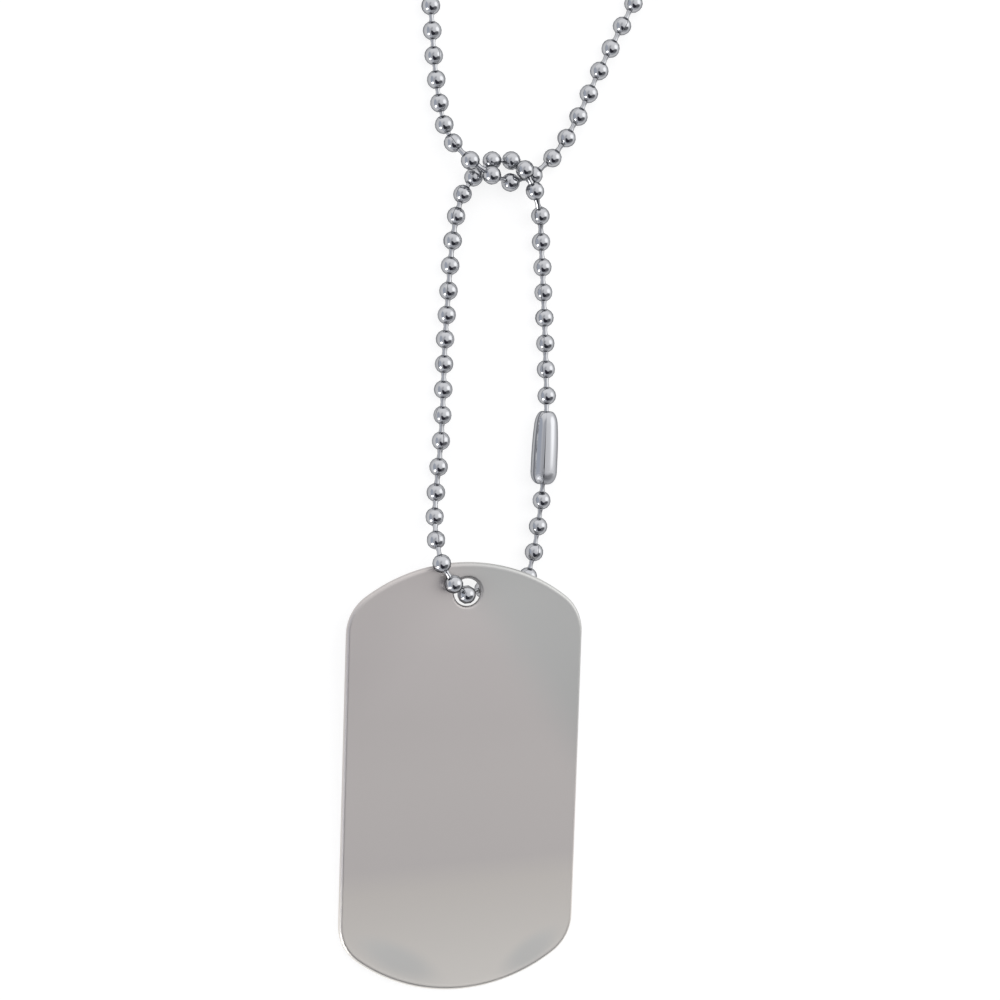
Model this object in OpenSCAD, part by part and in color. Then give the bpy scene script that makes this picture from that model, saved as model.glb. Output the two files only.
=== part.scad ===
// Blank identification tag on a short ball chain that is hooked into a neck chain, lying flat.
// The upper end of the sheet rests on the strand that comes up through its hole.

/* [Tag] */
// Height of the sheet over its two round ends
tag_h = 50.8; // [50:0.2:52]
// Width over the two straight sides
tag_w = 28.6; // [27.6:0.2:29.6]
// Radius of the round ends
end_r = 20.4; // [19.6:0.2:24]
// Radius where an end turns into a side
corner_r = 5.4; // [4.6:0.2:6.4]
// Thickness of the sheet
sheet_t = 0.5; // [0.4:0.05:0.6]
// Diameter of the edge, which is rolled to the back
rim_d = 1.2; // [1.1:0.05:1.3]
// Height of the rolled edge over the face of the sheet
rim_rise = 0.05; // [0.03:0.01:0.08]
// Diameter of the hole between its rounded lips
hole_d = 3.2; // [3.2:0.1:3.6]
// Distance from the top edge to the middle of the hole
hole_inset = 3.5; // [3.3:0.1:3.7]

/* [Ball chain] */
// Diameter of a ball
ball_d = 2.2; // [2.1:0.05:2.25]
// Thickness of a ball's wall
ball_wall = 0.25; // [0.2:0.05:0.3]
// Distance between two balls of a taut chain
pitch = 3; // [2.95:0.05:3.05]
// Diameter of the rod that links two balls
rod_d = 0.54; // [0.5:0.02:0.58]
// Length of the whole neck chain
neck_len = 610; // [540:10:620]

/* [Connector] */
// Length over the domed ends
connector_len = 8.6; // [8.5:0.1:8.7]
// Outer diameter
connector_d = 3.1; // [3.1:0.05:3.2]
// Thickness of the wall
connector_wall = 0.25; // [0.2:0.05:0.3]
// Diameter of the opening in each end
mouth_d = 1.5; // [1.4:0.05:1.6]

/* [Hidden] */
$fn = 32;

ball_r = ball_d / 2;
rod_r = rod_d / 2;
// A rod ends inside the next ball in a head that its hole can't pass
head_r = rod_r + 0.24;
head_t = 0.4;
head_back = 0.12;
ball_hole_r = rod_r + 0.13;
lip_r = sheet_t / 2;
face_z = rim_d - rim_rise;

// Both routes are laid out round the middle of the hole, with y along the tag.
// Each row is the number of a ball, its x and y, and how many balls high it lies.
route_unit = pitch / 3;
level_h = ball_d + 0.1;

// From the connector up the right strand, round the crossing, down over the edge,
// in through the hole and back under the sheet to the connector's lower end
SHORT_ROUTE = [
    [0, 9.8, 19.8, 0], [1, 9.9, 22.8, 0], [2, 9.8, 25.9, 0], [5, 9.3, 34.9, 0],
    [7, 8.9, 40.8, 0], [8, 8.6, 43.8, 0.2], [9, 7.6, 46.6, 0.56], [10, 6.2, 49.0, 0.72],
    [11, 5.05, 50.1, 0], [12, 2.7, 50.0, 0], [13, 0.5, 48.0, 0], [14, -0.8, 46.0, 0],
    [16, -1.9, 40.6, 0], [18, -2.3, 34.8, 0], [20, -2.6, 29.2, 0], [24, -2.9, 17.4, 0],
    [26, -3.4, 11.4, 0], [27, -3.7, 8.6, 0.3], [28, -3.9, 6.0, 0.92], [29, -3.6, 3.4, 1.56],
    [30, -2.1, 1.0, 1.56], [31, -0.1, -0.36, 0.94], [32, 2.5, 0.1, 0.16], [33, 5.25, 0.9, 0],
    [34, 8.05, 1.5, 0], [35, 8.75, 4.38, 0], [36, 9.2, 7.42, 0], [37, 9.5, 10.5, 0],
    [38, 9.6, 13.6, 0]];

// The seen stretch of the neck chain, from its left strand down through the crossing
NECK_ROUTE = [
    [0, -5.0, 67.4, 0], [3, -4.2, 59.0, 0], [5, -3.15, 53.9, 0], [6, -2.2, 51.8, 0.25],
    [7, -0.4, 49.8, 0.68], [8, 2.2, 48.2, 0.72], [9, 4.9, 47.55, 0.13], [10, 7.8, 48.5, 0],
    [11, 10.1, 50.6, 0], [12, 11.8, 53.0, 0], [15, 15.7, 61.0, 0], [18, 19.8, 69.1, 0]];

function place(row) = [row[1] * route_unit, row[2] * route_unit, ball_r + row[3] * level_h];

// How far the route moves on for each ball at row k
function pace(rows, k) =
    let (last = len(rows) - 1,
        a = max(k - 1, 0),
        b = min(k + 1, last),
        before = k > 0 ? rows[k][0] - rows[a][0] : 1,
        after = k < last ? rows[b][0] - rows[k][0] : 1,
        step_in = (place(rows[k]) - place(rows[a])) / before,
        step_out = (place(rows[b]) - place(rows[k])) / after)
    k == 0 ? step_out : k == last ? step_in : (step_in * after + step_out * before) / (before + after);

// Middle of ball i, on a smooth curve through the rows
function on_curve(rows, i) =
    let (k = max([for (j = [0 : len(rows) - 2]) if (rows[j][0] <= i) j]),
        span = rows[k + 1][0] - rows[k][0],
        t = (i - rows[k][0]) / span,
        a = place(rows[k]),
        b = place(rows[k + 1]))
    a * (2 * pow(t, 3) - 3 * pow(t, 2) + 1) + b * (3 * pow(t, 2) - 2 * pow(t, 3))
    + pace(rows, k) * span * (pow(t, 3) - 2 * pow(t, 2) + t)
    + pace(rows, k + 1) * span * (pow(t, 3) - pow(t, 2));

function on_surface(p) = [p[0], p[1], max(p[2], ball_r)];
function route_balls(rows) = [for (i = [0 : rows[len(rows) - 1][0]]) on_surface(on_curve(rows, i))];
function along(p, i = 0) = i > len(p) - 2 ? 0 : norm(p[i + 1] - p[i]) + along(p, i + 1);
function turned(v, a) = [v[0] * cos(a) - v[1] * sin(a), v[0] * sin(a) + v[1] * cos(a), v[2]];

// The hidden stretch goes straight on from both ends of the seen one, into one round arc
seen = route_balls(NECK_ROUTE);
left_end = seen[0];
right_end = seen[len(seen) - 1];
left_lean = 5;
right_lean = -27.4;
left_way = turned([0, 1, 0], left_lean);
right_way = turned([0, 1, 0], right_lean);
half_turn = (left_lean - right_lean) / 2;
// Where the two straight strands would meet
gap_ends = right_end - left_end;
cross_ways = left_way[0] * right_way[1] - left_way[1] * right_way[0];
left_t = -(gap_ends[0] * right_way[1] - gap_ends[1] * right_way[0]) / cross_ways;
right_t = -(gap_ends[0] * left_way[1] - gap_ends[1] * left_way[0]) / cross_ways;
meeting = left_end - left_way * left_t;
arc_r = (neck_len - along(seen) + left_t + right_t) / (2 / tan(half_turn) + PI * (1 + half_turn / 90));
tangent = arc_r / tan(half_turn);
arc_mid = meeting + turned([0, 1, 0], left_lean - half_turn) * arc_r / sin(half_turn);

// A point of the hidden stretch at distance s from the seen one, side 1 on the left and -1 on the right
function hidden_at(s, side) =
    let (start = side > 0 ? left_end : right_end,
        way = side > 0 ? left_way : right_way,
        straight = tangent - (side > 0 ? left_t : right_t),
        turn = (s - straight) / arc_r * 180 / PI)
    s < straight ? start + way * s : arc_mid + turned(turned(way, 90 * side), -side * turn) * arc_r;

function hidden_len(side) = tangent - (side > 0 ? left_t : right_t) + arc_r * PI * (0.5 + half_turn / 180);
function hidden_balls(side) =
    let (free = hidden_len(side) - connector_grip,
        count = round(free / pitch))
    [for (i = [1 : count]) hidden_at(i * free / count, side)];

connector_r = connector_d / 2;
connector_inner_r = connector_r - connector_wall;
// Each end is a dome cut open by the mouth, so its round goes on beyond the tube's length
dome_r = connector_r + 0.25;
inner_dome_r = dome_r - connector_wall;
dome_mid = connector_len / 2 - sqrt(pow(dome_r, 2) - pow(mouth_d / 2, 2));
// The last ball of a chain sits this far from the middle of its connector, just clear of the mouth
ball_play = 0.1;
mouth_depth = dome_mid + sqrt(pow(inner_dome_r, 2) - pow(mouth_d / 2, 2));
connector_grip = mouth_depth - sqrt(pow(ball_r + ball_play, 2) - pow(mouth_d / 2, 2));
// The split shows from above, a little to the left of the tube's top
seam_w = 0.12;
seam_turn = 163;

// A connector is thicker than a ball, so the chain rises a little to go into it
end_rise = connector_r - ball_r + 0.01;
function rise(i, last) =
    let (from_end = min(i, last - i))
    from_end == 0 ? end_rise : from_end == 1 ? 0.4 * end_rise : 0;
function raised(p) = [for (i = [0 : len(p) - 1]) p[i] + [0, 0, rise(i, len(p) - 1)]];

short_way = route_balls(SHORT_ROUTE);
short_last = len(short_way) - 1;
short_mid = (short_way[0] + short_way[short_last]) / 2;
short_axis = short_way[0] - short_way[short_last];
short_grip = connector_grip * short_axis / norm(short_axis);
short_balls = raised(concat([short_mid + short_grip],
    [for (i = [1 : short_last - 1]) short_way[i]], [short_mid - short_grip]));
left_balls = hidden_balls(1);
seen_low = min([for (p = seen) p[1]]);
neck_low = len(left_balls) + [for (i = [0 : len(seen) - 1]) if (seen[i][1] == seen_low) i][0];
neck_balls = raised(concat([for (i = [len(left_balls) - 1 : -1 : 0]) left_balls[i]], seen, hidden_balls(-1)));

// The origin is the middle of the whole on the surface it lies on
tag_low = hole_inset - tag_h;
neck_high = arc_mid[1] + arc_r + ball_r;
origin_shift = [-arc_mid[0], -(tag_low + neck_high) / 2, 0];

// The sheet's lower end lies on the surface and its upper edge on the strand below it
rest_y = 2.3;
rest_h = ball_d + 0.15;
lean = asin(rest_h / (rest_y - tag_low));

// Turns +Z to the direction v
module aim(v) {
    rotate([0, acos(v[2] / norm(v)), atan2(v[1], v[0])]) children();
}

corner_x = tag_w / 2 - corner_r;
end_y = tag_h / 2 - end_r;
corner_y = end_y + sqrt(pow(end_r - corner_r, 2) - pow(corner_x, 2));
corner_turn = atan2(corner_y - end_y, corner_x);

// Flat shape of the sheet: two end arcs, four corner arcs and two straight sides
module sheet_shape(inset) {
    square([tag_w - 2 * inset, 2 * corner_y], center = true);
    square([2 * corner_x, 2 * corner_y], center = true);
    for (side = [1, -1]) {
        for (x = [corner_x, -corner_x])
            translate([x, side * corner_y]) circle(r = corner_r - inset);
        intersection() {
            translate([0, side * end_y]) circle(r = end_r - inset, $fn = 96);
            polygon([[0, side * end_y],
                [corner_x * 2, side * (2 * corner_y - end_y)],
                [0, side * (end_y + 2 * end_r)],
                [-corner_x * 2, side * (2 * corner_y - end_y)]]);
        }
    }
}

// A round bar swept from angle a over turn degrees, at radius r from the middle of its arc
module bent_bar(r, a, turn, d) {
    rotate([0, 0, a]) rotate_extrude(angle = turn, $fn = 96) translate([r, 0]) circle(d = d);
}

// The corner bars are a hair thinner than the others and run on into them
module rim() {
    inset = rim_d / 2;
    overrun = 3;
    for (x = [1, -1])
        translate([x * (tag_w / 2 - inset), -corner_y, 0]) rotate([-90, 0, 0])
            cylinder(d = rim_d, h = 2 * corner_y);
    for (flip = [0, 180]) rotate([0, 0, flip]) {
        translate([0, end_y, 0]) bent_bar(end_r - inset, corner_turn, 180 - 2 * corner_turn, rim_d);
        for (side = [0, 1]) mirror([side, 0, 0]) translate([corner_x, corner_y, 0])
            bent_bar(corner_r - inset, -overrun, corner_turn + 2 * overrun, rim_d - 0.02);
    }
}

// The tag in its own frame: middle at the origin, back of the rim at z 0
module flat_tag() {
    difference() {
        union() {
            translate([0, 0, face_z - sheet_t]) linear_extrude(sheet_t) sheet_shape(rim_d / 2);
            translate([0, 0, rim_d / 2]) rim();
        }
        translate([0, tag_h / 2 - hole_inset, 0]) cylinder(r = hole_d / 2 + lip_r, h = 2 * rim_d);
    }
    translate([0, tag_h / 2 - hole_inset, face_z - lip_r])
        rotate_extrude() translate([hole_d / 2 + lip_r, 0]) circle(r = lip_r);
}

module tag() {
    color("silver") translate(origin_shift)
        translate([0, tag_low, 0]) rotate([lean, 0, 0]) translate([0, tag_h / 2, 0]) flat_tag();
}

// A rod along +Z from a ball's wall to its head inside the next ball, at distance reach
module rod(reach) {
    root = ball_r - 0.6 * ball_wall;
    tip = reach - head_back;
    translate([0, 0, root]) cylinder(r = rod_r, h = tip - root);
    translate([0, 0, tip - head_t / 2]) cylinder(r = head_r, h = head_t);
}

// One hollow ball at p, open toward the ball before it, with its own rod to the next
module ball(p, before, next) {
    translate(p) {
        aim(before) difference() {
            sphere(d = ball_d);
            sphere(d = ball_d - 2 * ball_wall);
            cylinder(r = ball_hole_r, h = ball_d);
        }
        if (norm(next) > 0)
            aim(next) rod(norm(next));
    }
}

// Balls from one number up to another of the chain whose balls sit at the places p
module chain(p, from, to) {
    last = len(p) - 1;
    for (i = [from : to])
        ball(p[i], i > 0 ? p[i - 1] - p[i] : p[0] - p[1], i < last ? p[i + 1] - p[i] : [0, 0, 0]);
}

// Half of the lengthwise section of a bar of radius r, whose ends are rounded with radius round_r
module half_section(r, round_r) {
    shoulder = dome_mid + sqrt(pow(round_r, 2) - pow(r, 2));
    translate([0, -shoulder]) square([r, 2 * shoulder]);
    for (side = [0, 1])
        mirror([0, side]) intersection() {
            translate([0, dome_mid]) circle(r = round_r);
            translate([0, shoulder]) square([r, r]);
        }
}

// A tube with domed ends, split along its upper side, which holds both end balls of a chain
module connector(a, b) {
    seam_angle = seam_w / connector_r * 180 / PI;
    translate((a + b) / 2) aim(b - a) rotate([0, 0, seam_turn + seam_angle / 2])
        rotate_extrude(angle = 360 - seam_angle) difference() {
            half_section(connector_r, dome_r);
            half_section(connector_inner_r, inner_dome_r);
            translate([0, -connector_len]) square([mouth_d / 2, 2 * connector_len]);
        }
}

module short_chain() {
    color("lightgray") translate(origin_shift) chain(short_balls, 0, len(short_balls) - 1);
}

module short_connector() {
    color("silver") translate(origin_shift) connector(short_balls[len(short_balls) - 1], short_balls[0]);
}

// The neck chain is one chain in two nodes, which meet at the lowest ball of the crossing
module neck_chain_left() {
    color("lightgray") translate(origin_shift) chain(neck_balls, 0, neck_low);
}

module neck_chain_right() {
    color("lightgray") translate(origin_shift) chain(neck_balls, neck_low + 1, len(neck_balls) - 1);
}

module neck_connector() {
    color("silver") translate(origin_shift) connector(neck_balls[0], neck_balls[len(neck_balls) - 1]);
}

tag();
short_chain();
short_connector();
neck_chain_left();
neck_chain_right();
neck_connector();
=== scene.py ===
# Blank identification tag on a short ball chain hooked into a neck chain, lying on a pale surface
import math

import bmesh
import bpy
from mathutils import Matrix, Vector


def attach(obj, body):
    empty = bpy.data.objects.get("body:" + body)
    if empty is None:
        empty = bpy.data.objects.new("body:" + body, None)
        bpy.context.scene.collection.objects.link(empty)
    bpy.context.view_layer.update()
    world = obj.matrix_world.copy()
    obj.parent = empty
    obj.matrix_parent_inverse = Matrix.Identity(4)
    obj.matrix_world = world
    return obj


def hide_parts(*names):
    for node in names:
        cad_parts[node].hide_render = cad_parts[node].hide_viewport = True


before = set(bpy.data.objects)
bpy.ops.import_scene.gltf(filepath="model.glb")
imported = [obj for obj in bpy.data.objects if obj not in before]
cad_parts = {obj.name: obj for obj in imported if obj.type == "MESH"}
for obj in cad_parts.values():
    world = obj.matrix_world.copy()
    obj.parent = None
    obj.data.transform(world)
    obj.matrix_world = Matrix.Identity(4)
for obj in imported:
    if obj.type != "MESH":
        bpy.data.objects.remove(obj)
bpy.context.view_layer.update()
print("frame loaded:", len(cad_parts), "nodes")

# shared helpers: sizes are written in millimetres


def mm(*values):
    scaled = [v / 1000 for v in values]
    return scaled[0] if len(scaled) == 1 else Vector(scaled)


def hexColour(code):
    def channel(text):
        c = int(text, 16) / 255
        return c / 12.92 if c <= 0.04045 else ((c + 0.055) / 1.055) ** 2.4

    return (channel(code[0:2]), channel(code[2:4]), channel(code[4:6]), 1.0)


def addNode(tree, kind, settings=None, inputs=None):
    node = tree.nodes.new(kind)
    node.location = (len(tree.nodes) * 190, 0)
    for name, value in (settings or {}).items():
        setattr(node, name, value)
    for key, value in (inputs or {}).items():
        if isinstance(value, bpy.types.NodeSocket):
            tree.links.new(value, node.inputs[key])
        else:
            node.inputs[key].default_value = value
    return node


def softOval(tree, place, oval):
    # 1 inside the oval, 0 outside it, with an edge as soft as the oval says
    local = addNode(tree, "ShaderNodeMapping", {"vector_type": "TEXTURE"}, {
        "Vector": place, "Location": (*oval["middle"], 0), "Rotation": (0, 0, math.radians(oval["turn"])),
        "Scale": (*oval["radii"], 1)})
    away = addNode(tree, "ShaderNodeVectorMath", {"operation": "LENGTH"}, {0: local.outputs[0]})
    mask = addNode(tree, "ShaderNodeMapRange", {"interpolation_type": "SMOOTHSTEP"}, {
        "Value": away.outputs["Value"], "From Min": 1 - oval["soft"], "From Max": 1 + oval["soft"],
        "To Min": 1.0, "To Max": 0.0})
    return mask.outputs[0]


def addObject(name, mesh, material, slot, *replaced):
    piece = bpy.data.objects.new(name, mesh)
    bpy.context.scene.collection.objects.link(piece)
    if material.name not in [m.name for m in mesh.materials if m]:
        mesh.materials.clear()
        mesh.materials.append(material)
    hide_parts(*replaced)
    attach(piece, "root")
    return piece


# camera, fitted to the tag's outline

view = {
    "place": (-127.17, -101.21, 286.84),
    "right": (0.95316, 0.01826, 0.30193),
    "up": (-0.00088, 0.99834, -0.05760),
    "lens": 92.23,
    "sensor": 36,
    "nearest": 0.01,
}

right = Vector(view["right"]).normalized()
back = right.cross(Vector(view["up"])).normalized()
turn = Matrix((right, back.cross(right), back)).transposed().to_4x4()
camera = bpy.data.objects.new("camera", bpy.data.cameras.new("camera"))
camera.matrix_world = Matrix.Translation(mm(*view["place"])) @ turn
camera.data.lens = view["lens"]
camera.data.sensor_width = view["sensor"]
camera.data.clip_start = view["nearest"]
bpy.context.scene.collection.objects.link(camera)
bpy.context.scene.camera = camera

# where things lie: the same points as the solids

lay = {
    "ballDiameter": 2.2,
    "pitch": 3.0,
    "neckLength": 610.0,
    "levelHeight": 2.3,
    "leftLean": 5.0,
    "rightLean": -27.4,
    "tagHeight": 50.8,
    "holeInset": 3.5,
    "restPlace": 2.3,
    "restHeight": 2.35,
    "connectorLength": 8.6,
    "connectorDiameter": 3.1,
    "connectorGrip": 3.0834,
    # gap left under a connector, and the share of its rise that the ball next to its end has
    "endGap": 0.01,
    "nextRise": 0.4,
}
ballRadius = lay["ballDiameter"] / 2

# ball number, x, y, and how many balls high it lies
shortRoute = [
    (0, 9.8, 19.8, 0), (1, 9.9, 22.8, 0), (2, 9.8, 25.9, 0), (5, 9.3, 34.9, 0),
    (7, 8.9, 40.8, 0), (8, 8.6, 43.8, 0.2), (9, 7.6, 46.6, 0.56), (10, 6.2, 49.0, 0.72),
    (11, 5.05, 50.1, 0), (12, 2.7, 50.0, 0), (13, 0.5, 48.0, 0), (14, -0.8, 46.0, 0),
    (16, -1.9, 40.6, 0), (18, -2.3, 34.8, 0), (20, -2.6, 29.2, 0), (24, -2.9, 17.4, 0),
    (26, -3.4, 11.4, 0), (27, -3.7, 8.6, 0.3), (28, -3.9, 6.0, 0.92), (29, -3.6, 3.4, 1.56),
    (30, -2.1, 1.0, 1.56), (31, -0.1, -0.36, 0.94), (32, 2.5, 0.1, 0.16), (33, 5.25, 0.9, 0),
    (34, 8.05, 1.5, 0), (35, 8.75, 4.38, 0), (36, 9.2, 7.42, 0), (37, 9.5, 10.5, 0),
    (38, 9.6, 13.6, 0)]
neckRoute = [
    (0, -5.0, 67.4, 0), (3, -4.2, 59.0, 0), (5, -3.15, 53.9, 0), (6, -2.2, 51.8, 0.25),
    (7, -0.4, 49.8, 0.68), (8, 2.2, 48.2, 0.72), (9, 4.9, 47.55, 0.13), (10, 7.8, 48.5, 0),
    (11, 10.1, 50.6, 0), (12, 11.8, 53.0, 0), (15, 15.7, 61.0, 0), (18, 19.8, 69.1, 0)]


def rowPlace(row):
    return Vector((row[1], row[2], ballRadius + row[3] * lay["levelHeight"]))


def rowPace(rows, k):
    def step(i):
        return (rowPlace(rows[i + 1]) - rowPlace(rows[i])) / (rows[i + 1][0] - rows[i][0])

    if k == 0:
        return step(0)
    if k == len(rows) - 1:
        return step(k - 1)
    before, after = rows[k][0] - rows[k - 1][0], rows[k + 1][0] - rows[k][0]
    return (step(k - 1) * after + step(k) * before) / (before + after)


def routeBalls(rows):
    balls = []
    for ball in range(rows[-1][0] + 1):
        k = max(j for j in range(len(rows) - 1) if rows[j][0] <= ball)
        span = rows[k + 1][0] - rows[k][0]
        t = (ball - rows[k][0]) / span
        a, b = rowPlace(rows[k]), rowPlace(rows[k + 1])
        p = a * (2 * t**3 - 3 * t**2 + 1) + b * (3 * t**2 - 2 * t**3)
        p += rowPace(rows, k) * span * (t**3 - 2 * t**2 + t) + rowPace(rows, k + 1) * span * (t**3 - t**2)
        p.z = max(p.z, ballRadius)
        balls.append(p)
    return balls


def turned(v, degrees):
    return Matrix.Rotation(math.radians(degrees), 3, "Z") @ v


def raisedEnds(balls):
    # a connector is thicker than a ball, so the chain rises a little to go into it
    rise = lay["connectorDiameter"] / 2 - ballRadius + lay["endGap"]
    for end, share in ((0, 1), (-1, 1), (1, lay["nextRise"]), (-2, lay["nextRise"])):
        balls[end] = balls[end] + Vector((0, 0, rise * share))
    return balls


seenNeck = routeBalls(neckRoute)
leftEnd, rightEnd = seenNeck[0], seenNeck[-1]
upWay = Vector((0, 1, 0))
leftWay, rightWay = turned(upWay, lay["leftLean"]), turned(upWay, lay["rightLean"])
halfTurn = math.radians(lay["leftLean"] - lay["rightLean"]) / 2
betweenEnds = rightEnd - leftEnd
crossWays = leftWay.x * rightWay.y - leftWay.y * rightWay.x
leftSpan = -(betweenEnds.x * rightWay.y - betweenEnds.y * rightWay.x) / crossWays
rightSpan = -(betweenEnds.x * leftWay.y - betweenEnds.y * leftWay.x) / crossWays
meeting = leftEnd - leftWay * leftSpan
seenLength = sum((b - a).length for a, b in zip(seenNeck, seenNeck[1:]))
arcRadius = (lay["neckLength"] - seenLength + leftSpan + rightSpan) / (
    2 / math.tan(halfTurn) + math.pi + 2 * halfTurn)
tangent = arcRadius / math.tan(halfTurn)
arcMiddle = meeting + turned(upWay, lay["leftLean"] - math.degrees(halfTurn)) * (
    arcRadius / math.sin(halfTurn))


def hiddenBalls(side):
    # straight on from the seen stretch, then round one wide arc to the connector behind the neck
    start, way, span = (leftEnd, leftWay, leftSpan) if side > 0 else (rightEnd, rightWay, rightSpan)
    straight = tangent - span
    free = straight + arcRadius * (math.pi / 2 + halfTurn) - lay["connectorGrip"]
    count = round(free / lay["pitch"])
    balls = []
    for i in range(1, count + 1):
        s = i * free / count
        if s < straight:
            balls.append(start + way * s)
        else:
            arc = math.degrees((s - straight) / arcRadius)
            balls.append(arcMiddle + turned(turned(way, 90 * side), -side * arc) * arcRadius)
    return balls


shortBalls = routeBalls(shortRoute)
gripMiddle = (shortBalls[0] + shortBalls[-1]) / 2
gripAxis = (shortBalls[0] - shortBalls[-1]).normalized() * lay["connectorGrip"]
shortBalls[0], shortBalls[-1] = gripMiddle + gripAxis, gripMiddle - gripAxis
shortBalls = raisedEnds(shortBalls)
neckBalls = raisedEnds(hiddenBalls(1)[::-1] + seenNeck + hiddenBalls(-1))
tagLow = lay["holeInset"] - lay["tagHeight"]
origin = Vector((arcMiddle.x, (tagLow + arcMiddle.y + arcRadius + ballRadius) / 2, 0))
print("routes laid:", len(shortBalls), "and", len(neckBalls), "balls")

# materials

finish = {
    "sheet": {
        # tones along the tag, in mm from its middle: grey, with a painted reflection lighter below its lower
        # quarter
        "tonesWithPaintedReflection": [(-25.4, "eeeae3"), (-13.0, "d7d2cc"), (-10.0, "cdc8c5"), (0.0, "c9c4c1"),
                  (14.0, "bfbab8"), (25.4, "beb9b7")],
        "toneSlope": 0.057,
        "roughness": 0.4, "roughnessSpread": 0.03, "cloudMm": 16.0,
        "grainMm": 0.35, "grainDepthMm": 0.0008, "grainStrength": 0.3,
        # the cooler upper right, and two corners darkened by a painted reflection
        "cool": "babab8", "coolLine": (0.82, 0.57), "coolStart": 10.0, "coolEnd": 17.0,
        "corner": "dad9d5",
        "corners": [{"middle": (-7.2, -21.4), "radii": (4.4, 1.5), "turn": -27, "soft": 0.6},
                    {"middle": (9.2, -21.2), "radii": (3.4, 1.4), "turn": 35, "soft": 0.6}],
    },
    "bead": {
        "colour": "b3b4b7", "edgeTint": "86878a", "roughness": 0.035,
        "seamColour": "37383d", "seamWidthMm": 0.07, "seamSoft": 0.4,
        "seamDepthMm": 0.05, "seamStrength": 0.5,
        "dentMm": 1.5, "dentDepthMm": 0.022,
    },
    "tube": {
        "colour": "b5b6b9", "edgeTint": "86878a", "roughness": 0.07,
        # the lower dome is duller; the change to the wall as shares of the whole section, outside and in
        "endRoughness": 0.42, "endStart": 0.13, "endStop": 0.215,
        # fine lines: width of one, and cells of the pattern along the section
        "drawLineMm": 0.12, "drawLineCells": 2.0, "drawLineDepthMm": 0.01, "drawLineStrength": 0.05,
        # a painted dark reflection as a line along one side: its place and half its width as shares of the
        # way round from the seam
        "darkReflectionColour": "5f6168", "darkReflectionPlace": 0.866, "darkReflectionHalf": 0.028,
    },
}


def newMaterial(name):
    material = bpy.data.materials.new(name)
    material.use_nodes = True
    material.node_tree.nodes.clear()
    return material, material.node_tree


def tumbledStainlessSheet():
    # stainless sheet, pressed and tumbled with fine media: an even soft grey with a blurred mirror in it,
    # with a painted reflection that makes it a little lighter at its lower end
    look = finish["sheet"]
    material, tree = newMaterial("tumbled_stainless_sheet")
    place = addNode(tree, "ShaderNodeTexCoord").outputs["Object"]
    middle = Vector((0, tagLow + lay["tagHeight"] / 2, 0)) - origin
    inMm = addNode(tree, "ShaderNodeMapping", None, {
        "Vector": place, "Location": (-middle.x, -middle.y, 0), "Scale": (1000, 1000, 1000)}).outputs[0]
    onFace = addNode(tree, "ShaderNodeVectorMath", {"operation": "MULTIPLY"}, {
        0: inMm, 1: (1, 1, 0)}).outputs[0]
    upwards = addNode(tree, "ShaderNodeVectorMath", {"operation": "DOT_PRODUCT"}, {
        0: onFace, 1: (-look["toneSlope"], 1, 0)})
    # painted reflection: the base colour gets lighter towards the lower end of the tag
    heights, codes = zip(*look["tonesWithPaintedReflection"])
    share = addNode(tree, "ShaderNodeMapRange", None, {
        "Value": upwards.outputs["Value"], "From Min": heights[0], "From Max": heights[-1]})
    tone = addNode(tree, "ShaderNodeValToRGB", None, {"Fac": share.outputs[0]})
    stops = tone.color_ramp.elements
    for height in heights[1:-1]:
        stops.new((height - heights[0]) / (heights[-1] - heights[0]))
    for stop, code in zip(stops, codes):
        stop.color = hexColour(code)
    across = addNode(tree, "ShaderNodeVectorMath", {"operation": "DOT_PRODUCT"}, {
        0: onFace, 1: (*look["coolLine"], 0)})
    shade = addNode(tree, "ShaderNodeMapRange", {"interpolation_type": "SMOOTHSTEP"}, {
        "Value": across.outputs["Value"], "From Min": look["coolStart"], "From Max": look["coolEnd"]})
    tone = addNode(tree, "ShaderNodeMix", {"data_type": "RGBA"}, {
        0: shade.outputs[0], 6: tone.outputs[0], 7: hexColour(look["cool"])})
    # painted reflection: two darker soft patches near the lower corners
    for oval in look["corners"]:
        tone = addNode(tree, "ShaderNodeMix", {"data_type": "RGBA"}, {
            0: softOval(tree, onFace, oval), 6: tone.outputs[2], 7: hexColour(look["corner"])})

    cloud = addNode(tree, "ShaderNodeTexNoise", None, {
        "Vector": inMm, "Scale": 1 / look["cloudMm"], "Detail": 1.0})
    rough = addNode(tree, "ShaderNodeMapRange", None, {
        "Value": cloud.outputs["Fac"], "To Min": look["roughness"] - look["roughnessSpread"],
        "To Max": look["roughness"] + look["roughnessSpread"]})
    grain = addNode(tree, "ShaderNodeTexNoise", None, {
        "Vector": inMm, "Scale": 1 / look["grainMm"], "Detail": 2.0})
    bump = addNode(tree, "ShaderNodeBump", None, {
        "Strength": look["grainStrength"], "Distance": look["grainDepthMm"] / 1000,
        "Height": grain.outputs["Fac"]})
    shader = addNode(tree, "ShaderNodeBsdfPrincipled", None, {
        "Base Color": tone.outputs[2], "Metallic": 1.0, "Roughness": rough.outputs[0],
        "Normal": bump.outputs[0]})
    addNode(tree, "ShaderNodeOutputMaterial", None, {"Surface": shader.outputs[0]})
    return material


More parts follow.
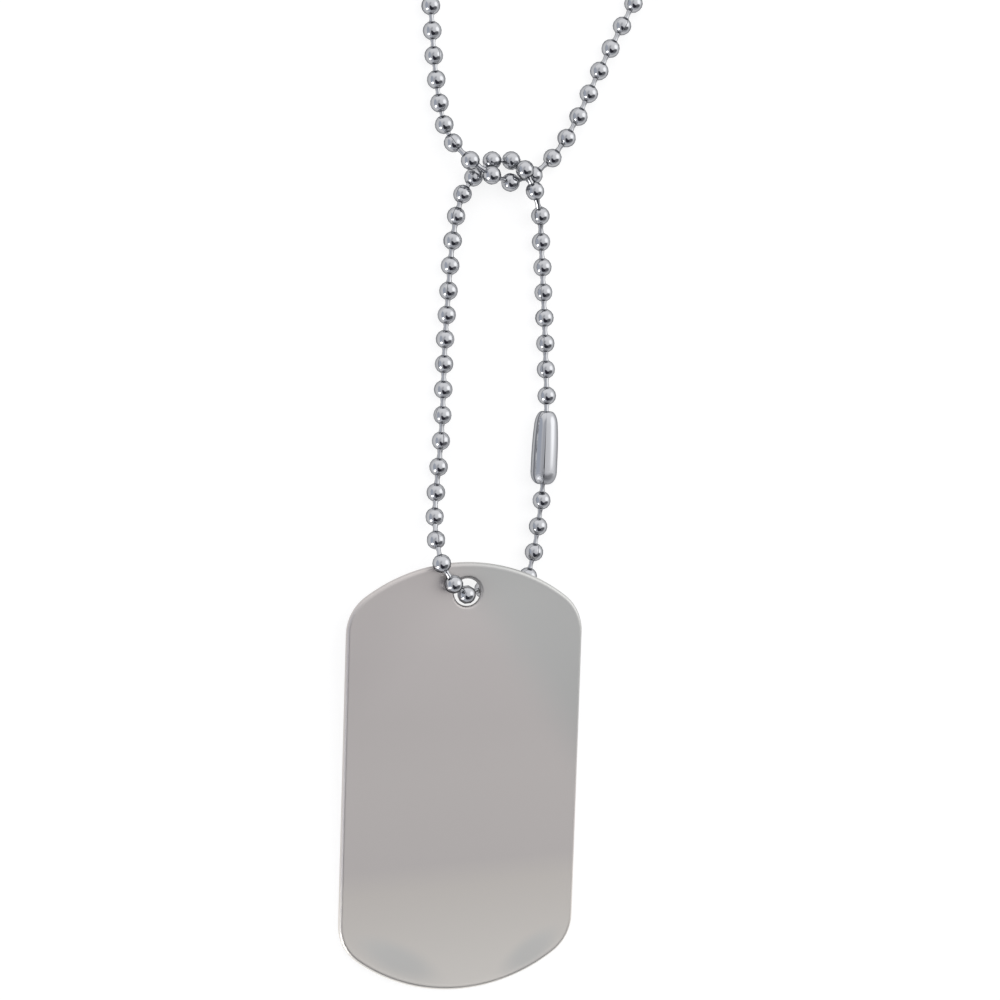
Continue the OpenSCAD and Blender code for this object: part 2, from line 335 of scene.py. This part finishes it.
def nickelPlatedBead():
    # steel strip rolled into balls, then bright nickel plated: small, slightly dented mirrors, each with a
    # dark closing seam, on plain wire rods
    look = finish["bead"]
    material, tree = newMaterial("nickel_plated_steel_bead")
    uv = addNode(tree, "ShaderNodeUVMap", {"uv_map": "around"})
    split = addNode(tree, "ShaderNodeSeparateXYZ", None, {0: uv.outputs[0]})
    around = addNode(tree, "ShaderNodeMath", {"operation": "SUBTRACT"}, {0: split.outputs["X"], 1: 0.5})
    off = addNode(tree, "ShaderNodeMath", {"operation": "ABSOLUTE"}, {0: around.outputs[0]})
    # rods have 0 as both coordinates, which lies half a turn away from the seam
    half = look["seamWidthMm"] / (2 * math.pi * ballRadius) / 2
    seam = addNode(tree, "ShaderNodeMapRange", None, {
        "Value": off.outputs[0], "From Min": half * (1 - look["seamSoft"]),
        "From Max": half * (1 + look["seamSoft"])})
    tone = addNode(tree, "ShaderNodeMix", {"data_type": "RGBA"}, {
        0: seam.outputs[0], 6: hexColour(look["seamColour"]), 7: hexColour(look["colour"])})
    place = addNode(tree, "ShaderNodeTexCoord").outputs["Object"]
    dents = addNode(tree, "ShaderNodeTexNoise", None, {
        "Vector": place, "Scale": 1000 / look["dentMm"], "Detail": 0.0})
    dented = addNode(tree, "ShaderNodeBump", None, {
        "Strength": 1.0, "Distance": look["dentDepthMm"] / 1000, "Height": dents.outputs["Fac"]})
    bump = addNode(tree, "ShaderNodeBump", None, {
        "Strength": look["seamStrength"], "Distance": look["seamDepthMm"] / 1000,
        "Height": seam.outputs[0], "Normal": dented.outputs[0]})
    shader = addNode(tree, "ShaderNodeBsdfPrincipled", None, {
        "Base Color": tone.outputs[2], "Metallic": 1.0, "Roughness": look["roughness"],
        "Specular Tint": hexColour(look["edgeTint"]), "Normal": bump.outputs[0]})
    addNode(tree, "ShaderNodeOutputMaterial", None, {"Surface": shader.outputs[0]})
    return material


def nickelPlatedTube():
    # drawn and plated tube: a mirror with very fine lines along its length
    look = finish["tube"]
    material, tree = newMaterial("nickel_plated_drawn_tube")
    uv = addNode(tree, "ShaderNodeUVMap", {"uv_map": "around"})
    finePerTurn = math.pi * lay["connectorDiameter"] / look["drawLineMm"]
    stretch = addNode(tree, "ShaderNodeMapping", None, {
        "Vector": uv.outputs[0], "Scale": (finePerTurn, look["drawLineCells"], 1.0)})
    lines = addNode(tree, "ShaderNodeTexNoise", None, {
        "Vector": stretch.outputs[0], "Scale": 1.0, "Detail": 1.0})
    bump = addNode(tree, "ShaderNodeBump", None, {
        "Strength": look["drawLineStrength"], "Distance": look["drawLineDepthMm"] / 1000,
        "Height": lines.outputs["Fac"]})
    split = addNode(tree, "ShaderNodeSeparateXYZ", None, {0: uv.outputs[0]})
    # painted dark reflection: a soft dark line along one side of the tube
    off = addNode(tree, "ShaderNodeMath", {"operation": "SUBTRACT"}, {
        0: split.outputs["X"], 1: look["darkReflectionPlace"]})
    away = addNode(tree, "ShaderNodeMath", {"operation": "ABSOLUTE"}, {0: off.outputs[0]})
    beside = addNode(tree, "ShaderNodeMapRange", {"interpolation_type": "SMOOTHSTEP"}, {
        "Value": away.outputs[0], "From Max": look["darkReflectionHalf"]})
    tone = addNode(tree, "ShaderNodeMix", {"data_type": "RGBA"}, {
        0: beside.outputs[0], 6: hexColour(look["darkReflectionColour"]), 7: hexColour(look["colour"])})
    # the second coordinate starts at the lower dome
    rough = addNode(tree, "ShaderNodeMapRange", None, {
        "Value": split.outputs["Y"], "From Min": look["endStart"], "From Max": look["endStop"],
        "To Min": look["endRoughness"], "To Max": look["roughness"]})
    shader = addNode(tree, "ShaderNodeBsdfPrincipled", None, {
        "Base Color": tone.outputs[2], "Metallic": 1.0, "Roughness": rough.outputs[0],
        "Specular Tint": hexColour(look["edgeTint"]), "Normal": bump.outputs[0]})
    addNode(tree, "ShaderNodeOutputMaterial", None, {"Surface": shader.outputs[0]})
    return material


sheetSteel = tumbledStainlessSheet()
beadNickel = nickelPlatedBead()
tubeNickel = nickelPlatedTube()
print("materials made")

# tag: one pressed sheet with a rolled edge

tag = {
    "width": 28.6,
    "endRadius": 20.4,
    "cornerRadius": 5.4,
    "endSteps": 56,
    "cornerSteps": 10,
    "sideSteps": 16,
    "holeSteps": 72,
    # a section is made of arcs and single points; the edge's are inset from the outline and height over the
    # back of the roll, from the face outwards and round to the back
    "edge": [(1.22, 1.15), (0.8, 1.15), (0.6, 1.151),
             {"middle": (0.42, 0.74), "radii": (0.42, 0.416), "degrees": (90, 180), "steps": 8},
             {"middle": (0.6, 0.6), "radii": (0.6, 0.59), "degrees": (180, 270), "steps": 7},
             {"middle": (0.6, 0.54), "radii": (0.59, 0.53), "degrees": (280, 360), "steps": 6},
             (1.22, 0.64), (1.3, 0.65)],
    # the lip's are distance from the middle of the hole and the same height, from the face down
    "lip": [{"middle": (2.04, 0.83), "radii": (0.44, 0.32), "degrees": (90, 180), "steps": 8},
            {"middle": (1.85, 0.82), "radii": (0.25, 0.17), "degrees": (190, 270), "steps": 4}],
}


def sectionPoints(section):
    points = []
    for part in section:
        if isinstance(part, tuple):
            points.append(part)
            continue
        first, last = part["degrees"]
        for i in range(part["steps"] + 1):
            a = math.radians(first + (last - first) * i / part["steps"])
            points.append((part["middle"][0] + part["radii"][0] * math.cos(a),
                           part["middle"][1] + part["radii"][1] * math.sin(a)))
    return points


def tagRing(inset):
    # the outline drawn inwards by inset: always the same number of points, so rings join up; only the long
    # straight sides are cut into steps
    cornerX = tag["width"] / 2 - tag["cornerRadius"]
    endY = lay["tagHeight"] / 2 - tag["endRadius"]
    cornerY = endY + math.sqrt((tag["endRadius"] - tag["cornerRadius"]) ** 2 - cornerX**2)
    cornerTurn = math.atan2(cornerY - endY, cornerX)
    quarter = []
    for i in range(tag["cornerSteps"]):
        a = cornerTurn * i / tag["cornerSteps"]
        r = tag["cornerRadius"] - inset
        quarter.append((cornerX + r * math.cos(a), cornerY + r * math.sin(a)))
    for i in range(tag["endSteps"] // 2 + 1):
        a = cornerTurn + (math.pi / 2 - cornerTurn) * i / (tag["endSteps"] // 2)
        r = tag["endRadius"] - inset
        quarter.append((r * math.cos(a), endY + r * math.sin(a)))
    half = quarter + [(-x, y) for x, y in quarter[-2::-1]]
    ring = half + [(-x, -y) for x, y in half]
    points = []
    for i, (x, y) in enumerate(ring):
        points.append((x, y))
        nx, ny = ring[(i + 1) % len(ring)]
        if abs(y - ny) > cornerY:
            for k in range(1, tag["sideSteps"]):
                points.append((x, y + (ny - y) * k / tag["sideSteps"]))
    return points


def bridge(bm, loopA, loopB):
    for i in range(len(loopA)):
        j = (i + 1) % len(loopA)
        bm.faces.new((loopA[i], loopB[i], loopB[j], loopA[j]))


def tagMesh():
    bm = bmesh.new()
    holeY = lay["tagHeight"] / 2 - lay["holeInset"]
    edgeRings = []
    for inset, z in sectionPoints(tag["edge"]):
        edgeRings.append([bm.verts.new((x, y, z)) for x, y in tagRing(inset)])
    lipRings = []
    angles = [2 * math.pi * i / tag["holeSteps"] for i in range(tag["holeSteps"])]
    for r, z in sectionPoints(tag["lip"]):
        lipRings.append([bm.verts.new((r * math.cos(a), holeY + r * math.sin(a), z)) for a in angles])
    for rings in (edgeRings, lipRings):
        for a, b in zip(rings, rings[1:]):
            bridge(bm, a, b)
    # face and back, each filled in between the edge and the lip of the hole
    for k in (0, -1):
        rim = []
        for ring in (edgeRings[k], lipRings[k]):
            for i in range(len(ring)):
                a, b = ring[i], ring[(i + 1) % len(ring)]
                rim.append(bm.edges.get((a, b)) or bm.edges.new((a, b)))
        bmesh.ops.triangle_fill(bm, edges=rim, use_beauty=True, normal=(0, 0, 1))
    bmesh.ops.recalc_face_normals(bm, faces=bm.faces)
    tilt = math.asin(lay["restHeight"] / (lay["restPlace"] - tagLow))
    move = (Matrix.Translation(Vector((0, tagLow, 0)) - origin) @ Matrix.Rotation(tilt, 4, "X")
            @ Matrix.Translation((0, lay["tagHeight"] / 2, 0)))
    bm.transform(Matrix.Scale(0.001, 4) @ move)
    for face in bm.faces:
        face.smooth = True
    mesh = bpy.data.meshes.new("tag_sheet")
    bm.to_mesh(mesh)
    bm.free()
    return mesh


addObject("tag_sheet", tagMesh(), sheetSteel, "tag_sheet", "tag")
print("tag made")

# ball chains: Geometry Nodes set a ball on each point and a rod on each step

bead = {
    "rodDiameter": 0.54,
    # a rod stops this share of a ball's diameter short of the step between two balls
    "rodShort": 0.62,
    # rods widen from where they enter a ball, about a quarter of their length away from their middle
    "rodFlare": 1.25,
    "flareFrom": 0.2,
    "rodSides": 6,
    "rodRings": 4,
    # points inside poleShare of the radius are sunk by the dimple; faces inside flatShare are shaded flat
    "dimpleDepth": 0.06,
    "poleShare": 0.01,
    "flatShare": 0.3,
    "sides": 12,
    "rings": 8,  # makes the ring next to each pole as wide as the rod's hole, 0.84 mm
    "seed": 7,
}


def ballChainTree():
    tree = bpy.data.node_groups.new("ball_chain", "GeometryNodeTree")
    sockets = tree.interface
    sockets.new_socket("Geometry", in_out="INPUT", socket_type="NodeSocketGeometry")
    for name in ("Ball Diameter", "Rod Diameter", "Rod Flare", "Dimple Depth"):
        sockets.new_socket(name, in_out="INPUT", socket_type="NodeSocketFloat")
    for name in ("Sides", "Rings", "Rod Sides", "Seed"):
        sockets.new_socket(name, in_out="INPUT", socket_type="NodeSocketInt")
    sockets.new_socket("Material", in_out="INPUT", socket_type="NodeSocketMaterial")
    sockets.new_socket("Geometry", in_out="OUTPUT", socket_type="NodeSocketGeometry")
    given = addNode(tree, "NodeGroupInput").outputs

    # one ball, its two poles sunk to make the dimples that the rods enter
    radius = addNode(tree, "ShaderNodeMath", {"operation": "MULTIPLY"}, {
        0: given["Ball Diameter"], 1: 0.5}).outputs[0]
    ball = addNode(tree, "GeometryNodeMeshUVSphere", None, {
        "Segments": given["Sides"], "Rings": given["Rings"], "Radius": radius})
    mapped = addNode(tree, "GeometryNodeStoreNamedAttribute", {"data_type": "FLOAT2", "domain": "CORNER"}, {
        "Geometry": ball.outputs[0], "Name": "around", "Value": ball.outputs["UV Map"]})
    place = addNode(tree, "GeometryNodeInputPosition").outputs[0]
    fromAxis = addNode(tree, "ShaderNodeVectorMath", {"operation": "MULTIPLY"}, {0: place, 1: (1, 1, 0)})
    width = addNode(tree, "ShaderNodeVectorMath", {"operation": "LENGTH"}, {0: fromAxis.outputs[0]})
    share = addNode(tree, "ShaderNodeMath", {"operation": "DIVIDE"}, {0: width.outputs["Value"], 1: radius})
    atPole = addNode(tree, "ShaderNodeMath", {"operation": "LESS_THAN"}, {
        0: share.outputs[0], 1: bead["poleShare"]})
    depth = addNode(tree, "ShaderNodeMath", {"operation": "DIVIDE"}, {0: given["Dimple Depth"], 1: radius})
    keep = addNode(tree, "ShaderNodeMath", {"operation": "SUBTRACT"}, {0: 1.0, 1: depth.outputs[0]})
    sunk = addNode(tree, "ShaderNodeVectorMath", {"operation": "SCALE"}, {
        0: place, "Scale": keep.outputs[0]})
    dimpled = addNode(tree, "GeometryNodeSetPosition", None, {
        "Geometry": mapped.outputs[0], "Selection": atPole.outputs[0], "Position": sunk.outputs[0]})
    outside = addNode(tree, "ShaderNodeMath", {"operation": "GREATER_THAN"}, {
        0: share.outputs[0], 1: bead["flatShare"]})
    smooth = addNode(tree, "GeometryNodeSetShadeSmooth", {"domain": "FACE"}, {
        "Geometry": dimpled.outputs[0], "Shade Smooth": outside.outputs[0]})

    # balls on the points, along the chain and spun at random round it
    curve = addNode(tree, "GeometryNodeMeshToCurve", None, {"Mesh": given["Geometry"]})
    tangent = addNode(tree, "GeometryNodeInputTangent")
    aim = addNode(tree, "FunctionNodeAlignRotationToVector", {"axis": "Z"}, {"Vector": tangent.outputs[0]})
    chance = addNode(tree, "FunctionNodeRandomValue", {"data_type": "FLOAT"}, {
        2: 0.0, 3: 2 * math.pi, "Seed": given["Seed"]})
    spin = addNode(tree, "FunctionNodeAxisAngleToRotation", None, {
        "Axis": (0, 0, 1), "Angle": chance.outputs[1]})
    spun = addNode(tree, "FunctionNodeRotateRotation", {"rotation_space": "LOCAL"}, {
        "Rotation": aim.outputs[0], "Rotate By": spin.outputs[0]})
    balls = addNode(tree, "GeometryNodeInstanceOnPoints", None, {
        "Points": curve.outputs[0], "Instance": smooth.outputs[0], "Rotation": spun.outputs[0]})

    # one rod for each step between two balls, reaching a little into both
    ends = addNode(tree, "GeometryNodeInputMeshEdgeVertices")
    run = addNode(tree, "ShaderNodeVectorMath", {"operation": "SUBTRACT"}, {
        0: ends.outputs["Position 2"], 1: ends.outputs["Position 1"]})
    kept = addNode(tree, "GeometryNodeCaptureAttribute", {"domain": "EDGE"}, {
        "Geometry": given["Geometry"]})
    kept.capture_items.new("VECTOR", "run")
    tree.links.new(run.outputs[0], kept.inputs[1])
    middles = addNode(tree, "GeometryNodeMeshToPoints", {"mode": "EDGES"}, {"Mesh": kept.outputs[0]})
    runLength = addNode(tree, "ShaderNodeVectorMath", {"operation": "LENGTH"}, {0: kept.outputs[1]})
    reach = addNode(tree, "ShaderNodeMath", {"operation": "MULTIPLY_ADD"}, {
        0: given["Ball Diameter"], 1: -bead["rodShort"], 2: runLength.outputs["Value"]})
    rodAim = addNode(tree, "FunctionNodeAlignRotationToVector", {"axis": "Z"}, {"Vector": kept.outputs[1]})
    size = addNode(tree, "ShaderNodeCombineXYZ", None, {"X": 1.0, "Y": 1.0, "Z": reach.outputs[0]})
    rodRadius = addNode(tree, "ShaderNodeMath", {"operation": "MULTIPLY"}, {
        0: given["Rod Diameter"], 1: 0.5})
    rod = addNode(tree, "GeometryNodeMeshCylinder", {"fill_type": "TRIANGLE_FAN"}, {
        "Vertices": given["Rod Sides"], "Side Segments": bead["rodRings"], "Radius": rodRadius.outputs[0],
        "Depth": 1.0})
    rodPlace = addNode(tree, "GeometryNodeInputPosition").outputs[0]
    rodHeight = addNode(tree, "ShaderNodeSeparateXYZ", None, {0: rodPlace})
    fromMiddle = addNode(tree, "ShaderNodeMath", {"operation": "ABSOLUTE"}, {0: rodHeight.outputs["Z"]})
    atBall = addNode(tree, "ShaderNodeMath", {"operation": "GREATER_THAN"}, {
        0: fromMiddle.outputs[0], 1: bead["flareFrom"]})
    flare = addNode(tree, "ShaderNodeCombineXYZ", None, {
        "X": given["Rod Flare"], "Y": given["Rod Flare"], "Z": 1.0})
    wider = addNode(tree, "ShaderNodeVectorMath", {"operation": "MULTIPLY"}, {
        0: rodPlace, 1: flare.outputs[0]})
    flared = addNode(tree, "GeometryNodeSetPosition", None, {
        "Geometry": rod.outputs["Mesh"], "Selection": atBall.outputs[0], "Position": wider.outputs[0]})
    roundRod = addNode(tree, "GeometryNodeSetShadeSmooth", {"domain": "FACE"}, {
        "Geometry": flared.outputs[0], "Shade Smooth": rod.outputs["Side"]})
    rods = addNode(tree, "GeometryNodeInstanceOnPoints", None, {
        "Points": middles.outputs[0], "Instance": roundRod.outputs[0], "Rotation": rodAim.outputs[0],
        "Scale": size.outputs[0]})
    join = addNode(tree, "GeometryNodeJoinGeometry", None, {0: rods.outputs[0]})
    tree.links.new(balls.outputs[0], join.inputs[0])
    real = addNode(tree, "GeometryNodeRealizeInstances", None, {0: join.outputs[0]})
    dressed = addNode(tree, "GeometryNodeSetMaterial", None, {
        0: real.outputs[0], "Material": given["Material"]})
    addNode(tree, "NodeGroupOutput", None, {0: dressed.outputs[0]})
    return tree


chainTree = ballChainTree()


def ballChain(name, balls, *replaced):
    line = bpy.data.meshes.new(name + "_line")
    steps = [(i, i + 1) for i in range(len(balls) - 1)]
    line.from_pydata([(p - origin) / 1000 for p in balls], steps, [])
    base = bpy.data.objects.new(name + "_base", line)
    bpy.context.scene.collection.objects.link(base)
    modifier = base.modifiers.new("chain", "NODES")
    modifier.node_group = chainTree
    values = {
        "Ball Diameter": mm(lay["ballDiameter"]), "Rod Diameter": mm(bead["rodDiameter"]),
        "Rod Flare": bead["rodFlare"], "Dimple Depth": mm(bead["dimpleDepth"]), "Sides": bead["sides"],
        "Rings": bead["rings"], "Rod Sides": bead["rodSides"], "Seed": bead["seed"], "Material": beadNickel}
    for item in chainTree.interface.items_tree:
        if item.in_out == "INPUT" and item.name in values:
            modifier[item.identifier] = values[item.name]
    bpy.context.view_layer.update()
    evaluated = base.evaluated_get(bpy.context.evaluated_depsgraph_get())
    solid = bpy.data.meshes.new_from_object(evaluated)
    solid.name = name
    base.modifiers.remove(modifier)
    bpy.data.objects.remove(base)
    return addObject(name, solid, beadNickel, "chain", *replaced)


ballChain("short_ball_chain", shortBalls, "short_chain")
ballChain("neck_ball_chain", neckBalls, "neck_chain_left", "neck_chain_right")
print("chains made")

# connectors: a split tube with domed ends

tube = {
    "wall": 0.25,
    # place along the axis and distance from it: wider below its middle, with a longer upper end
    "outline": [{"middle": (-2.85, 0.52), "radii": (1.45, 1.03), "degrees": (180, 90), "steps": 9},
                (-1.9, 1.553), (-0.9, 1.55), (0.2, 1.53), (1.2, 1.49), (2.0, 1.44),
                {"middle": (2.4, 0.52), "radii": (1.9, 0.88), "degrees": (84, 0), "steps": 10}],
    "seamTurn": 163.0,
    # the seam widens between these two shares of the length, from the upper end down
    "seamNarrow": 0.012,
    "seamWide": 0.11,
    "seamWidens": (0.1875, 0.8125),
    "creaseDegrees": 40,
    "aroundSteps": 48,
}


def splitTube(name, ballA, ballB, replaced):
    outerRadius = lay["connectorDiameter"] / 2
    outer = [(r, z) for z, r in sectionPoints(tube["outline"])]
    innerShare = 1 - tube["wall"] / outerRadius
    endShare = 1 - tube["wall"] / lay["connectorLength"] * 2
    inner = [(max(r * innerShare, outer[0][0]), z * endShare) for r, z in outer]
    section = outer + inner[::-1]
    widenFrom, widenTo = tube["seamWidens"]
    bm = bmesh.new()
    layer = bm.loops.layers.uv.new("around")
    columns = []
    for k in range(tube["aroundSteps"] + 1):
        column = []
        for r, z in section:
            down = 0.5 - z / lay["connectorLength"]
            share = min(1, max(0, (down - widenFrom) / (widenTo - widenFrom)))
            slit = (tube["seamNarrow"] + (tube["seamWide"] - tube["seamNarrow"]) * share) / outerRadius
            a = math.radians(tube["seamTurn"]) + slit / 2 + (2 * math.pi - slit) * k / tube["aroundSteps"]
            column.append(bm.verts.new((r * math.cos(a), r * math.sin(a), z)))
        columns.append(column)
    count = len(section)
    for k in range(tube["aroundSteps"]):
        for i in range(count):
            j = (i + 1) % count
            face = bm.faces.new((columns[k][i], columns[k + 1][i], columns[k + 1][j], columns[k][j]))
            for loop, (u, v) in zip(face.loops, ((k, i), (k + 1, i), (k + 1, i + 1), (k, i + 1))):
                loop[layer].uv = (u / tube["aroundSteps"], v / count)
    # both sides of the seam
    for column in (columns[0], columns[-1]):
        half = count // 2
        for i in range(half - 1):
            bm.faces.new((column[i], column[i + 1], column[count - 2 - i], column[count - 1 - i]))
    bmesh.ops.recalc_face_normals(bm, faces=bm.faces)
    for face in bm.faces:
        face.smooth = True
    for edge in bm.edges:
        if len(edge.link_faces) == 2 and edge.calc_face_angle() > math.radians(tube["creaseDegrees"]):
            edge.smooth = False
    axis = ballB - ballA
    tilt = math.acos(axis.z / axis.length)
    spin = math.atan2(axis.y, axis.x)
    move = (Matrix.Translation((ballA + ballB) / 2 - origin) @ Matrix.Rotation(spin, 4, "Z")
            @ Matrix.Rotation(tilt, 4, "Y"))
    bm.transform(Matrix.Scale(0.001, 4) @ move)
    mesh = bpy.data.meshes.new(name)
    bm.to_mesh(mesh)
    bm.free()
    return addObject(name, mesh, tubeNickel, "connector", replaced)


splitTube("short_connector_tube", shortBalls[-1], shortBalls[0], "short_connector")
splitTube("neck_connector_tube", neckBalls[0], neckBalls[-1], "neck_connector")
print("connectors made")

# stage: pale floor and soft studio light

studio = {
    "floorSize": 8000,
    "floorGlow": 0.78,
    "floorColour": "949494",
    "floorRoughness": 0.9,
    "floorSheen": 0.1,
    "strength": 1.0,
    # the light tent from below: 0 is straight up, 1 the horizon, x and y as on the floor
    "rampTurn": 60,
    # place along the ramp, colour and level
    "ramp": [(-1.0, "c5c6ca", 1.1), (-0.3, "cacace", 1.35), (0.15, "ddddde", 1.6), (0.5, "e3e3e4", 1.72)],
    "ovals": [
        # dim left side
        {"middle": (-0.95, 0.05), "radii": (0.38, 0.6), "turn": 0, "soft": 0.2,
         "colour": "b5bac4", "level": 1.4},
        # dim patch near the top
        {"middle": (-0.3, 0.12), "radii": (0.3, 0.13), "turn": 60, "soft": 0.6,
         "colour": "b4b5b9", "level": 1.5},
        # lamp panel
        {"middle": (0.6, 0.2), "radii": (0.26, 0.27), "turn": 0, "soft": 0.35,
         "colour": "ffffff", "level": 2.0},
        # grey front, right and left
        {"middle": (0.45, -0.8), "radii": (0.8, 0.42), "turn": 35, "soft": 0.4,
         "colour": "b6b7ba", "level": 1.45},
        {"middle": (-0.35, -0.85), "radii": (0.45, 0.35), "turn": 0, "soft": 0.5,
         "colour": "c0c2c8", "level": 1.5},
        # the opening in the tent's front: half shade round it, its right and left part, its darkest part
        {"middle": (0.12, -0.52), "radii": (0.45, 0.26), "turn": 0, "soft": 0.4,
         "colour": "a8a9ad", "level": 1.4},
        {"middle": (0.42, -0.375), "radii": (0.42, 0.23), "turn": 25, "soft": 0.12,
         "colour": "76777b", "level": 1.15},
        {"middle": (-0.12, -0.38), "radii": (0.36, 0.18), "turn": -62, "soft": 0.15,
         "colour": "44464f", "level": 1.1},
        {"middle": (0.03, -0.46), "radii": (0.26, 0.2), "turn": 0, "soft": 0.2,
         "colour": "36373f", "level": 1.0},
        # window
        {"middle": (-0.65, -0.58), "radii": (0.16, 0.13), "turn": 42, "soft": 0.15,
         "colour": "ffffff", "level": 8.0},
    ],
}


def glowingFloor():
    # white acrylic board lit from behind, as used for packshots: white with hardly any shadow
    material, tree = newMaterial("backlit_white_acrylic")
    shader = addNode(tree, "ShaderNodeBsdfPrincipled", None, {
        "Base Color": hexColour(studio["floorColour"]), "Roughness": studio["floorRoughness"],
        "Specular IOR Level": studio["floorSheen"], "Emission Color": hexColour("ffffff"),
        "Emission Strength": studio["floorGlow"]})
    addNode(tree, "ShaderNodeOutputMaterial", None, {"Surface": shader.outputs[0]})
    mesh = bpy.data.meshes.new("floor")
    reach = studio["floorSize"] / 2
    corners = ((-1, -1), (1, -1), (1, 1), (-1, 1))
    mesh.from_pydata([mm(x * reach, y * reach, 0) for x, y in corners], [], [(0, 1, 2, 3)])
    mesh.materials.append(material)
    floor = bpy.data.objects.new("floor", mesh)
    bpy.context.scene.collection.objects.link(floor)


def rampColour(stop):
    return [c * stop[2] for c in hexColour(stop[1])]


def lightTent():
    # the whole tent is one world shader: a soft ramp with ovals laid over it
    world = bpy.data.worlds.new("light_tent")
    world.use_nodes = True
    bpy.context.scene.world = world
    tree = world.node_tree
    tree.nodes.clear()
    way = addNode(tree, "ShaderNodeTexCoord").outputs["Generated"]
    height = addNode(tree, "ShaderNodeSeparateXYZ", None, {0: way}).outputs["Z"]
    flat = addNode(tree, "ShaderNodeVectorMath", {"operation": "MULTIPLY"}, {0: way, 1: (1, 1, 0)})
    flat = addNode(tree, "ShaderNodeVectorMath", {"operation": "NORMALIZE"}, {0: flat.outputs[0]})
    fromTop = addNode(tree, "ShaderNodeMath", {"operation": "ARCCOSINE"}, {0: height})
    fromTop = addNode(tree, "ShaderNodeMath", {"operation": "MULTIPLY"}, {
        0: fromTop.outputs[0], 1: 2 / math.pi})
    seen = addNode(tree, "ShaderNodeVectorMath", {"operation": "SCALE"}, {
        0: flat.outputs[0], "Scale": fromTop.outputs[0]}).outputs[0]

    turnedSeen = addNode(tree, "ShaderNodeMapping", {"vector_type": "TEXTURE"}, {
        "Vector": seen, "Rotation": (0, 0, math.radians(studio["rampTurn"]))})
    along = addNode(tree, "ShaderNodeSeparateXYZ", None, {0: turnedSeen.outputs[0]}).outputs["X"]
    backdrop = rampColour(studio["ramp"][0])
    for start, end in zip(studio["ramp"], studio["ramp"][1:]):
        part = addNode(tree, "ShaderNodeMapRange", None, {
            "Value": along, "From Min": start[0], "From Max": end[0]})
        backdrop = addNode(tree, "ShaderNodeMix", {"data_type": "RGBA"}, {
            0: part.outputs[0], 6: backdrop, 7: rampColour(end)}).outputs[2]
    for oval in studio["ovals"]:
        glow = [c * oval["level"] for c in hexColour(oval["colour"])]
        backdrop = addNode(tree, "ShaderNodeMix", {"data_type": "RGBA"}, {
            0: softOval(tree, seen, oval), 6: backdrop, 7: glow}).outputs[2]
    light = addNode(tree, "ShaderNodeBackground", None, {
        "Color": backdrop, "Strength": studio["strength"]})
    addNode(tree, "ShaderNodeOutputWorld", None, {0: light.outputs[0]})


glowingFloor()
lightTent()
bpy.context.scene.view_settings.view_transform = "Standard"
print("stage set")
